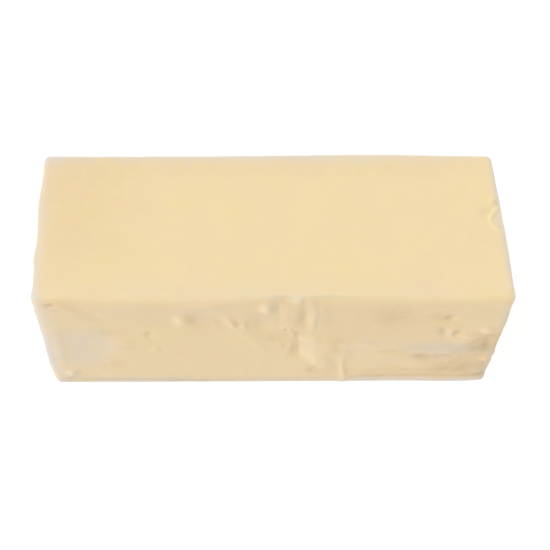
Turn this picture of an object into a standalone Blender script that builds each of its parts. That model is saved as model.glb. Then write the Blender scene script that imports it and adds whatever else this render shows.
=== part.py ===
"""A block of low-moisture mozzarella, the loaf that kitchens slice and grate, as one solid.

Metres, +Z up. The origin is on the floor under the middle of the block. X runs along its length, -Y is the
front, where the curd was folded as it was moulded, and the ends keep the creases of the vacuum bag.

Relief is worked out in millimetres over each side's own two directions, and pushes the surface outwards.
"""

import math
import random
from collections import namedtuple

import bmesh
import bpy
import numpy as np
from mathutils import Vector, noise

MM = 0.001

# Driving dimensions of the block.
LENGTH = 262.0 * MM
DEPTH = 99.5 * MM
HEIGHT = 98.6 * MM
EDGE_RADIUS = 3.4 * MM
EDGE_STEPS = 6
PLAN_SKEW = -1.8 * MM  # how far the back leans along X against the front

# How fine the surface is worked, and how many triangles the finished solid keeps.
CELL = 1.3 * MM
TRIANGLES = 11200

# The slow unevenness of every side: its swell at the middle, and the height and length of its waves.
PILLOW = 0.5
WAVE_HEIGHT = 0.45
WAVE_LENGTH = 46.0
RIPPLE_HEIGHT = 0.12
RIPPLE_LENGTH = 10.0
FOOT_BLEND = 3.0  # the relief fades out over this height above the floor

# Curd tears and folds are never ruled lines: every mark wavers sideways and its height comes and goes.
WAVER = 1.1
WAVER_LENGTH = 9.0
WAVER_SEED = 260  # without a seed, Blender's vector noise starts from the clock
PATCHY = 0.6
PATCHY_LENGTH = 6.5
CREASE_FADE = 9.0  # a crease comes up to its full depth over this much of its route
ROUTE_STEPS = 5  # short straight runs between two points of a route

# A swelling, or a dent where its height is below zero. The size is its half-widths, and a power above 2 gives
# it a flatter top and steeper sides.
Swell = namedtuple("Swell", "centre size height tilt power", defaults=(0.0, 2))
# A groove along a route of points, with a lip standing on its left as it runs.
Crease = namedtuple("Crease", "route depth width lip", defaults=(0.0,))

HALF_L, HALF_D, H = LENGTH / MM / 2, DEPTH / MM / 2, HEIGHT / MM

# The front, over (x, z) in millimetres.
FRONT = (
    # The curd fold right of the middle. Above, a groove with a narrow ridge at its right, and a plate at its left.
    Crease(((15.5, 106), (16.3, 94), (17.0, 82), (17.6, 69)), 0.45, 1.7),
    Swell((17.4, 76.5), (1.1, 6.5), -0.6, 0.05),
    Swell((21.8, 77), (2.2, 9.5), 1.3),
    Swell((20.6, 92), (2.6, 7), 0.45),
    Swell((26.4, 79), (5.0, 10), 1.2),
    Swell((9.4, 79), (5.0, 9.5), 0.95, 0.0, 4),
    # Below, torn dents, and a broad flap that rises to the right and breaks off there.
    Swell((13.7, 60), (1.2, 4.8), -1.0, 0.15),
    Swell((13.4, 43.5), (3.2, 8.5), -1.4, 0.0, 3),
    Swell((27.6, 46), (8.4, 13), 3.1, 0.05, 3),
    Swell((20.6, 57.2), (5.4, 2.4), 1.1, 0.0, 4),
    Swell((29.2, 29), (5.0, 9.5), 2.4, 0.2, 3),
    Swell((25.0, 17.5), (3.2, 4.4), -1.0),
    Swell((34.0, 19), (5.0, 12), -0.75, 0.1),
    Swell((42.3, 18.5), (1.8, 13.5), 1.9, 0.07),
    Swell((39.8, 38), (6.0, 9), 1.65, 0.0, 2.5),
    # The knob where the fold reaches the top edge, and the hollows where the edge is drawn in on both sides.
    Swell((13.4, 98.5), (3.2, 3.6), 1.75),
    Swell((4.8, 100), (7.0, 5.0), -1.6),
    Swell((30, 100), (9, 9), -1.5),
    Swell((47, 100), (14, 9), -0.6),
    Swell((2.4, 90), (1.8, 4.6), -0.45),
    # Crumbs and dents between the fold and the slanting ridge.
    Swell((5.2, 68.4), (1.2, 1.6), 1.1),
    Swell((9.0, 67.0), (1.2, 1.8), 1.0),
    Swell((6.9, 65.8), (1.1, 1.3), -0.75),
    Swell((4.6, 57.3), (7.0, 5.0), -0.9, -0.1, 3),
    Swell((7.4, 47.8), (1.1, 2.4), -1.0),
    Swell((-7.5, 73), (4.2, 9), -0.75, 0.1),
    Swell((-3.6, 89.2), (3.2, 4.0), 2.75),
    # The slanting ridge: a short stub, then a faint swell that is lost towards the foot.
    Swell((-23.0, 74.5), (2.5, 6.6), 2.1, 0.4),
    Crease(((-28, 86), (-22.5, 71), (-17.9, 59), (-13.4, 48), (-9, 36)), 0.1, 2.6, 0.3),
    Swell((-30.2, 75), (2.0, 6), -0.5, 0.3),
    Swell((-17.6, 79), (4.6, 6), 0.5),
    Swell((-16.2, 72.4), (1.8, 2.2), 1.25),
    Swell((-12.6, 67.5), (2.4, 2.6), -0.3),
    Swell((-13, 54), (9, 16), 0.3, 0.5),
    # A large knob, a three-cornered nick and a few slight ones.
    Swell((-50.2, 77.2), (4.4, 5.4), 2.6, 0.0, 2.5),
    Swell((-41.0, 80), (6.4, 8), -0.4),
    Swell((-70.2, 61), (1.9, 3.8), -1.1, -0.2),
    Swell((-68.2, 61.5), (2.4, 2.0), -0.6),
    Swell((-67.2, 44), (2.2, 2.4), 0.5),
    Swell((-53, 60), (9, 6), 0.3),
    Swell((-30, 30), (16, 9), 0.25, 0.3),
    # The long ledge that leaves the flap at half height, and the ripples to its right.
    Crease(((110, 44), (90, 46.5), (66, 51.5), (46, 55), (27, 57)), 0.1, 2.4, 0.95),
    Swell((69, 41.5), (9, 1.8), -0.95, -0.05),
    Swell((88.5, 34.8), (5.2, 2.2), -1.1, -0.25),
    Swell((58, 30), (12, 7), 0.45, 0.0, 3),
    Swell((75, 21.5), (7, 2.0), -0.6, 0.05),
    Swell((100, 23), (10, 4), -0.4, 0.1),
    Swell((66, 43), (26, 9), 0.9, 0.0, 4),
    # Pits and dents towards the right, over the bag's fold.
    Swell((98.9, 78), (2.3, 2.8), -1.75),
    Swell((93.5, 77.5), (5.5, 3.2), -0.6, 0.35),
    Swell((88.5, 85.5), (5.0, 2.4), 0.55, 0.5),
    Swell((95, 65.5), (4.0, 4.4), -0.5),
    Swell((67.4, 80.4), (6.5, 6.5), -0.6),
    Swell((94, 92), (2.4, 1.8), -0.6),
    Swell((112, 90), (2.8, 1.6), -0.55),
    # The bag's fold round the right end: a raised rim with a knob, and below it the corner pressed in.
    Swell((101.6, 61.0), (1.9, 4.0), 1.1, 0.1),
    Swell((102.4, 66.5), (3.0, 1.8), 0.6, 0.3),
    Swell((105.2, 61.8), (2.3, 3.4), -0.9),
    Swell((97.4, 63.4), (2.2, 3.6), -0.9),
    Swell((112.4, 57.9), (5.6, 2.1), 2.1, 0.0, 2.5),
    Swell((122.2, 64.9), (3.8, 2.6), 2.25, 0.0, 2.5),
    Crease(((139, 66), (127, 59), (120, 53.5), (116, 49), (113, 44)), 0.9, 3.2),
    Swell((125.5, 49), (6.0, 10), -1.5, 0.15),
    Swell((131, 14), (6.5, 14), -2.4),
    Swell((126.2, 31.4), (2.2, 3.2), 2.0),
    Swell((106, 48), (10, 6), -0.5),
    Swell((100, 70), (7, 3), 0.4, -0.3),
    # The short pinch under the top left corner, and the blotch below it.
    Swell((-121.4, 92.6), (2.8, 1.7), -1.5),
    Swell((-99.8, 82), (6.2, 3.6), -0.9, -0.5),
    Swell((-112, 88), (7, 3), 0.4, -0.4),
    # The flat where the bag pulled tight at the left, with its uneven rim, and the corner worn round beside it.
    Swell((-107, 46), (16, 23), -0.6, 0.0, 4),
    Swell((-88.5, 47.0), (9.0, 5.0), 1.1, 0.7),
    Swell((-95, 30), (6, 4), 0.4, -0.4),
    Swell((-135, 42), (8.5, 30), -1.9),
    Swell((-123, 45), (2.6, 20), 0.38),
    Swell((-134, 84), (7.5, 20), -1.3),
    # The bag's seam: a groove over the bottom edge of the right half, and a small dent at the left.
    Crease(((141, 8), (118, 8.2), (96, 8.4), (60, 8.6), (44, 8.0)), 0.95, 1.8),
    Swell((-120.4, 6.4), (3.0, 2.4), -1.0),
    Swell((-119.2, 14.4), (2.8, 2.6), 2.1),
    # The foot bulges under the seam, and the top edge is proud in places.
    Swell((104, 3), (30, 6), 0.4, 0.0, 4),
    Swell((50, 2), (24, 5), 0.2, 0.0, 4),
    Swell((-66, 94), (42, 20), 1.1),
    Swell((-34, 96), (15, 10), 1.0),
    Swell((94, 98), (42, 12), 0.8),
)

# The top, over (x, y): nearly flat, rolling off at the left end and nibbled at the right one.
TOP = (
    Swell((-136, -44), (7, 60), -1.6),
    Swell((133, 6.0), (7.0, 9.5), -2.2, 0.0, 3),
    Crease(((136, 19), (128, 9.6), (124.4, 4.8), (123.4, 2.4), (124.6, -0.8), (132, -9)), -1.25, 1.3),
    Swell((129.4, 15.2), (1.7, 1.6), -1.2),
    Swell((126.4, 17.0), (1.4, 2.8), 1.0),
    Swell((6, -44), (14, 5), 0.3),
    Swell((-3, 21), (16, 9), 0.22),
    Swell((-32, -29), (30, 9), 0.2, 0.2),
    Swell((70, 12), (34, 20), -0.18),
    Swell((-90, 8), (26, 24), -0.2),
)

# The left end, over (-y, z): three lumps under the top edge, a swollen corner towards the front, and the cross
# that the bag's folded end pressed in.
LEFT = (
    Swell((-15, 90), (12, 15), 1.3),
    Swell((21, 90), (7.5, 12), 1.2),
    Swell((46, 94), (4, 6), 0.5),
    Swell((47, 32), (11, 18), 0.9),
    Swell((47, 18), (8, 12), 0.8),
    Swell((52, 2), (6, 6), -0.7),
    Swell((50, 68), (8, 9), 0.4),
    Crease(((-60, 51), (-42, 49), (-20, 47), (8, 49.5), (30, 48), (42, 50)), 1.15, 2.0, 0.7),
    Crease(((-47, 93), (-36, 74), (-26, 61), (-18, 44)), 0.95, 2.2, 0.6),
    Crease(((47, 92), (38, 76), (28, 60), (22, 45)), 0.9, 2.0, 0.6),
    Crease(((-46, 7), (-36, 20), (-26, 34), (-12, 50)), 0.9, 1.9, 0.55),
    Crease(((42, 8), (36, 20), (30, 34), (24, 52)), 0.85, 2.1, 0.55),
    Swell((2, 68), (13, 9), 0.5),
    Swell((5, 27), (16, 10), -0.4),
)

# The right end, over (y, z): the same cross, skewed, meeting the tuck that comes round the front corner.
RIGHT = (
    Swell((-8, 93), (38, 20), 1.3),
    Swell((-46, 95), (5, 4.5), 0.5),
    Swell((-47, 70), (6, 15), 0.6),
    Swell((-48, 27), (6, 7), 0.5),
    Swell((-50, 8), (7, 6), -0.6),
    Crease(((-47, 55), (-40, 53), (-26, 50), (-4, 53), (22, 49), (60, 53)), 1.0, 1.9, 0.6),
    Crease(((-45, 93), (-36, 76), (-28, 62), (-23, 45)), 0.7, 1.9, 0.45),
    Crease(((46, 92), (36, 76), (26, 62), (19, 45)), 0.7, 2.1, 0.45),
    Crease(((-56, 22), (-44, 32), (-34, 37), (-22, 53)), 0.8, 2.0, 0.5),
    Crease(((46, 5), (37, 20), (29, 32), (17, 53)), 0.6, 1.9, 0.35),
    Swell((-6, 72), (15, 11), 0.4),
    Swell((6, 25), (17, 11), 0.4),
)

# The back has the same sorts of marks as the front, thrown at random: how many, and how large they get.
BACK_SEED = 27
BACK_KNOBS = 12
BACK_CREASES = 6
BACK_REACH, BACK_LOW, BACK_HIGH = 118.0, 12.0, 88.0
BACK_SWELL = Swell((-50, 96), (48, 20), 1.5)  # the top edge is proud over one half of the back too


def thrown_back():
    """The marks on the back, over (-x, z)."""
    draw = random.Random(BACK_SEED)
    marks = [BACK_SWELL]
    for _ in range(BACK_KNOBS):
        centre = (draw.uniform(-BACK_REACH, BACK_REACH), draw.uniform(BACK_LOW, BACK_HIGH))
        size = (draw.uniform(2.0, 6.0), draw.uniform(2.0, 5.0))
        marks.append(Swell(centre, size, draw.choice((-0.8, -0.5, 0.6, 0.9))))
    for number in range(BACK_CREASES):
        x = -BACK_REACH + 2 * BACK_REACH * (number + draw.random()) / BACK_CREASES
        z = draw.uniform(45, BACK_HIGH)
        heading = draw.uniform(-2.3, -0.8)
        route = [(x, z)]
        for _ in range(4):
            heading += draw.uniform(-0.45, 0.45)
            x += 12 * math.cos(heading)
            z += 12 * math.sin(heading)
            route.append((x, z))
        marks.append(Crease(tuple(route), draw.uniform(0.3, 0.8), draw.uniform(1.6, 2.6), draw.uniform(0.2, 0.7)))
    return tuple(marks)


def rounded_route(route):
    """The points of a route with its corners rounded, by Catmull-Rom curves through the same points."""
    ends = (2 * route[0] - route[1], 2 * route[-1] - route[-2])
    knots = [ends[0], *route, ends[1]]
    line = []
    for before, start, end, after in zip(knots, knots[1:], knots[2:], knots[3:]):
        for step in range(ROUTE_STEPS):
            share = step / ROUTE_STEPS
            bend = 2 * before - 5 * start + 4 * end - after
            twist = 3 * start - before - 3 * end + after
            line.append(start + share / 2 * (end - before + share * (bend + share * twist)))
    return [*line, route[-1]]


def to_route(u, v, route):
    """For the points (u, v): how far a route is, how far they lie to its left, and how far along it they are."""
    line = rounded_route([np.array(point, float) for point in route])
    nearest = np.full(u.shape, np.inf)
    left = np.zeros(u.shape)
    along = np.zeros(u.shape)
    run = 0.0
    for (u0, v0), (u1, v1) in zip(line, line[1:]):
        du, dv = u1 - u0, v1 - v0
        length = math.hypot(du, dv)
        share = np.clip(((u - u0) * du + (v - v0) * dv) / length**2, 0, 1)
        distance = np.hypot(u - u0 - share * du, v - v0 - share * dv)
        side = (v - v0) * du - (u - u0) * dv
        closer = distance < nearest
        nearest = np.where(closer, distance, nearest)
        left = np.where(closer, np.sign(side) * distance, left)
        along = np.where(closer, run + share * length, along)
        run += length
    return nearest, left, along, run


def soft_step(share):
    """Goes from 0 to 1 with no corner at either end."""
    share = np.clip(share, 0, 1)
    return share * share * (3 - 2 * share)


def swell_height(u, v, mark):
    """The height of one swelling at the points (u, v)."""
    cos, sin = math.cos(mark.tilt), math.sin(mark.tilt)
    du, dv = u - mark.centre[0], v - mark.centre[1]
    across = (cos * du + sin * dv) / mark.size[0]
    upward = (cos * dv - sin * du) / mark.size[1]
    return mark.height * np.exp(-np.abs(across) ** mark.power - np.abs(upward) ** mark.power)


def crease_height(u, v, mark, patchy):
    """The height of one crease at the points (u, v): a groove along its route, and the lip on its left."""
    distance, left, along, run = to_route(u, v, mark.route)
    fade = soft_step(np.minimum(along, run - along) / min(CREASE_FADE, run / 3))
    groove = -mark.depth * np.exp(-((distance / mark.width) ** 2))
    lip = mark.lip * np.exp(-(((left - 2 * mark.width) / (1.3 * mark.width)) ** 2))
    return fade * (groove * (1 + 0.5 * patchy) + lip * (1 + patchy))


def relief(u, v, marks, patchy):
    """The height of all the marks of one side at the points (u, v)."""
    total = np.zeros(u.shape)
    for mark in marks:
        total += swell_height(u, v, mark) if isinstance(mark, Swell) else crease_height(u, v, mark, patchy)
    return total


def noise_at(points, length):
    """Smooth noise from -1 to 1, of the given grain, at points in millimetres."""
    return np.array([noise.noise(Vector(point) / length) for point in points])


def wavered(points):
    """The same points, moved about a little, to look the marks up at."""
    noise.seed_set(WAVER_SEED)
    shifts = np.array([noise.noise_vector(Vector(point) / WAVER_LENGTH) for point in points])
    return points + WAVER * shifts


def pillow(points):
    """A slight swell of each side towards its middle."""
    x, y, z = points.T
    reach = np.stack([x / HALF_L, y / HALF_D, z / (H / 2) - 1])
    spread = np.sort(np.abs(reach), axis=0)[:2]  # the two directions that lie in the side
    return PILLOW * (1 - spread[0] ** 2) * (1 - spread[1] ** 2)


def blank():
    """The plain block: a cube at its real size, its edges rounded, and its sides cut into small cells."""
    bm = bmesh.new()
    bmesh.ops.create_cube(bm, size=1)
    bmesh.ops.scale(bm, vec=(LENGTH, DEPTH, HEIGHT), verts=bm.verts)
    bmesh.ops.translate(bm, vec=(0, 0, HEIGHT / 2), verts=bm.verts)
    bmesh.ops.bevel(
        bm,
        geom=bm.edges[:],
        offset=EDGE_RADIUS,
        offset_type="OFFSET",
        segments=EDGE_STEPS,
        profile=0.5,
        affect="EDGES",
    )
    for axis in range(3):
        long_edges = []
        for edge in bm.edges:
            run = edge.verts[1].co - edge.verts[0].co
            if abs(run[axis]) > 0.999 * run.length and run.length > 4 * CELL:
                long_edges.append(edge)
        cuts = round(long_edges[0].calc_length() / CELL) - 1
        bmesh.ops.subdivide_edges(bm, edges=long_edges, cuts=cuts)
    bm.normal_update()
    return bm


def sculpt(bm):
    """Pushes every point of the blank out or in by the relief of the sides that it faces."""
    points = np.array([vert.co for vert in bm.verts]) / MM
    normals = np.array([vert.normal for vert in bm.verts])
    x, y, z = wavered(points).T
    patchy = PATCHY * noise_at(points, PATCHY_LENGTH)
    waves = WAVE_HEIGHT * noise_at(points, WAVE_LENGTH) + RIPPLE_HEIGHT * noise_at(points, RIPPLE_LENGTH)
    push = normals * (waves + pillow(points))[:, None]
    push[:, 1] -= relief(x, z, FRONT, patchy) * soft_step(-normals[:, 1])
    push[:, 1] += relief(-x, z, thrown_back(), patchy) * soft_step(normals[:, 1])
    push[:, 2] += relief(x, y, TOP, patchy) * soft_step(normals[:, 2])
    push[:, 0] -= relief(-y, z, LEFT, patchy) * soft_step(-normals[:, 0])
    push[:, 0] += relief(y, z, RIGHT, patchy) * soft_step(normals[:, 0])
    pushed = points + push * soft_step(points[:, 2] / FOOT_BLEND)[:, None]
    pushed[:, 2] = np.maximum(pushed[:, 2], 0)
    pushed[:, 0] += PLAN_SKEW / MM * pushed[:, 1] / (2 * HALF_D)
    middle = (pushed.min(axis=0) + pushed.max(axis=0)) / 2
    pushed[:, :2] -= middle[:2]
    for vert, place in zip(bm.verts, pushed):
        vert.co = Vector(place) * MM


def cheese_material():
    """Pale straw yellow, close-grained and slightly moist."""
    material = bpy.data.materials.new("mozzarella")
    material.use_nodes = True
    shader = material.node_tree.nodes["Principled BSDF"]
    shader.inputs["Base Color"].default_value = (0.88, 0.70, 0.42, 1)
    shader.inputs["Roughness"].default_value = 0.45
    shader.inputs["Metallic"].default_value = 0.0
    return material


def make_block():
    """The block as one object, worked fine and then thinned to the triangles that its form needs."""
    bm = blank()
    sculpt(bm)
    fine_triangles = sum(len(face.verts) - 2 for face in bm.faces)
    mesh = bpy.data.meshes.new("mozzarella_block")
    bm.to_mesh(mesh)
    bm.free()
    mesh.shade_smooth()
    mesh.materials.append(cheese_material())
    block = bpy.data.objects.new("mozzarella_block", mesh)
    bpy.context.scene.collection.objects.link(block)
    thin = block.modifiers.new("Thin", "DECIMATE")
    thin.decimate_type = "COLLAPSE"
    thin.ratio = TRIANGLES / fine_triangles
    return block


def main():
    for obj in list(bpy.data.objects):
        bpy.data.objects.remove(obj)
    make_block()


main()
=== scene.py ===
# %% [markdown]
# # A block of low-moisture mozzarella
#
# This lesson dresses one loaf of the firm, pale cheese that kitchens slice and grate. It was stretched,
# pressed into a loaf and vacuum-packed, so its sides are nearly flat, its edges are soft, and it keeps the
# folds of its own curd and of the bag.
#
# The plain model of the block is loaded first and never changed. A finer skin is then built in its place,
# given a cheese material, and set on a white table in soft light.

# %% Tools for the whole lesson
import math
import random
from collections import namedtuple

import bmesh
import bpy
import numpy as np
from mathutils import Matrix, Vector, noise


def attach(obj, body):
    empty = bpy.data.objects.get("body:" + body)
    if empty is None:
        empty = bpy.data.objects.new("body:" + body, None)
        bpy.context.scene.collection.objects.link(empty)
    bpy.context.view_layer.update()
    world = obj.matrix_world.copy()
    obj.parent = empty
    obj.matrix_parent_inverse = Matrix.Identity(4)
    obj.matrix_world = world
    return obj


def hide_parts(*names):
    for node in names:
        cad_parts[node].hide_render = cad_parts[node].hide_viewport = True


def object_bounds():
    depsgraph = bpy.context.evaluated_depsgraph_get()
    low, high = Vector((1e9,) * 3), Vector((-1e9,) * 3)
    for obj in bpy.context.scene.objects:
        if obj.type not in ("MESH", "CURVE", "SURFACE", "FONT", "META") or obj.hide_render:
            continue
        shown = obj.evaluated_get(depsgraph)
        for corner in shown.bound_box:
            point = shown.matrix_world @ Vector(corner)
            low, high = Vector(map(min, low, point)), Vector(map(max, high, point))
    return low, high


MM = 0.001
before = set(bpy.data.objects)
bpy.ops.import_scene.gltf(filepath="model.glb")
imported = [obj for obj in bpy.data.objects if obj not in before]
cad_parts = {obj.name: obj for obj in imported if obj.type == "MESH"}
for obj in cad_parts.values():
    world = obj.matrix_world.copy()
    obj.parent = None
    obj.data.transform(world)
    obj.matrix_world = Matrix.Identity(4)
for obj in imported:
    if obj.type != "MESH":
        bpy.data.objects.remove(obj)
cad_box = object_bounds()
box_mm = np.array([list(corner) for corner in cad_box]) / MM
print("box of the plain model in mm:", box_mm.round(1).tolist())


# %% [markdown]
# ## The size of the block
#
# The skin starts from the same few sizes as the plain model. All the relief is worked out in millimetres,
# which is how a cheesemaker would measure it, and only the finished points are turned to metres.

# %% The driving sizes
LENGTH, DEPTH, HEIGHT = 262.0, 99.5, 98.6
HALF_L, HALF_D = LENGTH / 2, DEPTH / 2
EDGE_RADIUS = 3.4
EDGE_STEPS = 6
PLAN_SKEW = -1.8  # how far the back leans along X against the front
CELL_X, CELL_Y, CELL_Z = 1.1, 1.4, 0.9  # finest up the sides, where most of the marks are

PILLOW = 0.5  # the swell of each side at its middle
WAVE_HEIGHT, WAVE_LENGTH = 0.45, 46.0
RIPPLE_HEIGHT, RIPPLE_LENGTH = 0.12, 10.0
FOOT_BLEND = 3.0  # the relief fades out over this height above the floor

WAVER, WAVER_LENGTH = 1.1, 9.0  # how far every mark wavers sideways, and over what distance
WAVER_SEED = 260  # the same as the plain model's, so that the marks waver alike
PATCHY, PATCHY_LENGTH = 0.6, 6.5  # how much the height of a crease comes and goes
CREASE_FADE = 9.0  # a crease deepens over this much of its route at each end, or a third of a short one
ROUTE_STEPS = 5  # short straight runs between two points of a route

print(f"a loaf of {LENGTH * DEPTH * HEIGHT / 1e6:.2f} litres")


# %% [markdown]
# ## Two kinds of mark
#
# Everything on the surface is one of two things. A **swell** is a soft bump, or a dent where its height is
# below zero. Its tilt turns it to the left, in radians, and a power above 2 gives it a flatter top and
# steeper sides. A **crease** is a groove along a route, or a ridge where its depth is below zero. It may
# have a lip of cheese pushed up on its left side.
#
# They could be sculpted by hand, but then nobody could read or change them. Here each mark is one line of
# plain sizes in millimetres, over the two directions of the side that it lies on.

# %% A swell and a crease
Swell = namedtuple("Swell", "centre size height tilt power", defaults=(0.0, 2))
Crease = namedtuple("Crease", "route depth width lip", defaults=(0.0,))
print("a swell has:", Swell._fields, "and a crease has:", Crease._fields)


# %% [markdown]
# ## The front
#
# Stretched curd is folded into the mould while it is hot, and where two folds meet they don't quite weld.
# The front shows one such fold from the top edge to the foot, with torn dents, a flap and crumbs beside it.
# The bag added the rest: a long ledge, a tuck round the right end, a flat at the left, and its seam over
# the foot.

# %% The marks on the front, over (x, z)
FRONT = (
    # The curd fold right of the middle. Above: a groove, a narrow ridge at its right, a plate at its left.
    Crease(((15.5, 106), (16.3, 94), (17.0, 82), (17.6, 69)), 0.45, 1.7),
    Swell((17.4, 76.5), (1.1, 6.5), -0.6, 0.05),
    Swell((21.8, 77), (2.2, 9.5), 1.3),
    Swell((20.6, 92), (2.6, 7), 0.45),
    Swell((26.4, 79), (5.0, 10), 1.2),
    Swell((9.4, 79), (5.0, 9.5), 0.95, 0.0, 4),
    # Below, torn dents, and a broad flap that rises to the right and breaks off there.
    Swell((13.7, 60), (1.2, 4.8), -1.0, 0.15),
    Swell((13.4, 43.5), (3.2, 8.5), -1.4, 0.0, 3),
    Swell((27.6, 46), (8.4, 13), 3.1, 0.05, 3),
    Swell((20.6, 57.2), (5.4, 2.4), 1.1, 0.0, 4),
    Swell((29.2, 29), (5.0, 9.5), 2.4, 0.2, 3),
    Swell((25.0, 17.5), (3.2, 4.4), -1.0),
    Swell((34.0, 19), (5.0, 12), -0.75, 0.1),
    Swell((42.3, 18.5), (1.8, 13.5), 1.9, 0.07),
    Swell((39.8, 38), (6.0, 9), 1.65, 0.0, 2.5),
    # The knob where the fold reaches the top edge, and the hollows where the edge is drawn in beside it.
    Swell((13.4, 98.5), (3.2, 3.6), 1.75),
    Swell((4.8, 100), (7.0, 5.0), -1.6),
    Swell((30, 100), (9, 9), -1.5),
    Swell((47, 100), (14, 9), -0.6),
    Swell((2.4, 90), (1.8, 4.6), -0.45),
    # Crumbs and dents between the fold and the slanting ridge.
    Swell((5.2, 68.4), (1.2, 1.6), 1.1),
    Swell((9.0, 67.0), (1.2, 1.8), 1.0),
    Swell((6.9, 65.8), (1.1, 1.3), -0.75),
    Swell((4.6, 57.3), (7.0, 5.0), -0.9, -0.1, 3),
    Swell((7.4, 47.8), (1.1, 2.4), -1.0),
    Swell((-7.5, 73), (4.2, 9), -0.75, 0.1),
    Swell((-3.6, 89.2), (3.2, 4.0), 2.75),
    # The slanting ridge: a short stub, then a faint swell that is lost towards the foot.
    Swell((-23.0, 74.5), (2.5, 6.6), 2.1, 0.4),
    Crease(((-28, 86), (-22.5, 71), (-17.9, 59), (-13.4, 48), (-9, 36)), 0.1, 2.6, 0.3),
    Swell((-30.2, 75), (2.0, 6), -0.5, 0.3),
    Swell((-17.6, 79), (4.6, 6), 0.5),
    Swell((-16.2, 72.4), (1.8, 2.2), 1.25),
    Swell((-12.6, 67.5), (2.4, 2.6), -0.3),
    Swell((-13, 54), (9, 16), 0.3, 0.5),
    # A large knob, a three-cornered nick and a few slight ones.
    Swell((-50.2, 77.2), (4.4, 5.4), 2.6, 0.0, 2.5),
    Swell((-41.0, 80), (6.4, 8), -0.4),
    Swell((-70.2, 61), (1.9, 3.8), -1.1, -0.2),
    Swell((-68.2, 61.5), (2.4, 2.0), -0.6),
    Swell((-67.2, 44), (2.2, 2.4), 0.5),
    Swell((-53, 60), (9, 6), 0.3),
    Swell((-30, 30), (16, 9), 0.25, 0.3),
    # The long ledge that leaves the flap at half height, and the ripples to its right.
    Crease(((110, 44), (90, 46.5), (66, 51.5), (46, 55), (27, 57)), 0.1, 2.4, 0.95),
    Swell((69, 41.5), (9, 1.8), -0.95, -0.05),
    Swell((88.5, 34.8), (5.2, 2.2), -1.1, -0.25),
    Swell((58, 30), (12, 7), 0.45, 0.0, 3),
    Swell((75, 21.5), (7, 2.0), -0.6, 0.05),
    Swell((100, 23), (10, 4), -0.4, 0.1),
    Swell((66, 43), (26, 9), 0.9, 0.0, 4),
    # Pits and dents towards the right, over the bag's fold.
    Swell((98.9, 78), (2.3, 2.8), -1.75),
    Swell((93.5, 77.5), (5.5, 3.2), -0.6, 0.35),
    Swell((88.5, 85.5), (5.0, 2.4), 0.55, 0.5),
    Swell((95, 65.5), (4.0, 4.4), -0.5),
    Swell((67.4, 80.4), (6.5, 6.5), -0.6),
    Swell((94, 92), (2.4, 1.8), -0.6),
    Swell((112, 90), (2.8, 1.6), -0.55),
    # The bag's fold round the right end: a raised rim with a knob, and below it the corner pressed in.
    Swell((101.6, 61.0), (1.9, 4.0), 1.1, 0.1),
    Swell((102.4, 66.5), (3.0, 1.8), 0.6, 0.3),
    Swell((105.2, 61.8), (2.3, 3.4), -0.9),
    Swell((97.4, 63.4), (2.2, 3.6), -0.9),
    Swell((112.4, 57.9), (5.6, 2.1), 2.1, 0.0, 2.5),
    Swell((122.2, 64.9), (3.8, 2.6), 2.25, 0.0, 2.5),
    Crease(((139, 66), (127, 59), (120, 53.5), (116, 49), (113, 44)), 0.9, 3.2),
    Swell((125.5, 49), (6.0, 10), -1.5, 0.15),
    Swell((131, 14), (6.5, 14), -2.4),
    Swell((126.2, 31.4), (2.2, 3.2), 2.0),
    Swell((106, 48), (10, 6), -0.5),
    Swell((100, 70), (7, 3), 0.4, -0.3),
    # The short pinch under the top left corner, and the blotch below it.
    Swell((-121.4, 92.6), (2.8, 1.7), -1.5),
    Swell((-99.8, 82), (6.2, 3.6), -0.9, -0.5),
    Swell((-112, 88), (7, 3), 0.4, -0.4),
    # The flat where the bag pulled tight at the left, its uneven rim, and the corner worn round beside it.
    Swell((-107, 46), (16, 23), -0.6, 0.0, 4),
    Swell((-88.5, 47.0), (9.0, 5.0), 1.1, 0.7),
    Swell((-95, 30), (6, 4), 0.4, -0.4),
    Swell((-135, 42), (8.5, 30), -1.9),
    Swell((-123, 45), (2.6, 20), 0.38),
    Swell((-134, 84), (7.5, 20), -1.3),
    # The bag's seam: a groove over the bottom edge of the right half, and a small dent at the left.
    Crease(((141, 8), (118, 8.2), (96, 8.4), (60, 8.6), (44, 8.0)), 0.95, 1.8),
    Swell((-120.4, 6.4), (3.0, 2.4), -1.0),
    Swell((-119.2, 14.4), (2.8, 2.6), 2.1),
    # The foot bulges under the seam, and the top edge is proud in places.
    Swell((104, 3), (30, 6), 0.4, 0.0, 4),
    Swell((50, 2), (24, 5), 0.2, 0.0, 4),
    Swell((-66, 94), (42, 20), 1.1),
    Swell((-34, 96), (15, 10), 1.0),
    Swell((94, 98), (42, 12), 0.8),
)

print("marks on the front:", len(FRONT))


# %% [markdown]
# ## The top and the two ends
#
# The lid of the mould left the top nearly flat. It rolls off at the left, and a flake has broken out of its
# right edge. A vacuum bag is folded over at its ends, like a parcel, and the folds press a cross into the
# cheese there.

# %% The marks on the top, over (x, y), and on the ends, over (-y, z) and (y, z)
TOP = (
    Swell((-136, -44), (7, 60), -1.6),
    Swell((133, 6.0), (7.0, 9.5), -2.2, 0.0, 3),
    Crease(((136, 19), (128, 9.6), (124.4, 4.8), (123.4, 2.4), (124.6, -0.8), (132, -9)), -1.25, 1.3),
    Swell((129.4, 15.2), (1.7, 1.6), -1.2),
    Swell((126.4, 17.0), (1.4, 2.8), 1.0),
    Swell((6, -44), (14, 5), 0.3),
    Swell((-3, 21), (16, 9), 0.22),
    Swell((-32, -29), (30, 9), 0.2, 0.2),
    Swell((70, 12), (34, 20), -0.18),
    Swell((-90, 8), (26, 24), -0.2),
)

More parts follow.
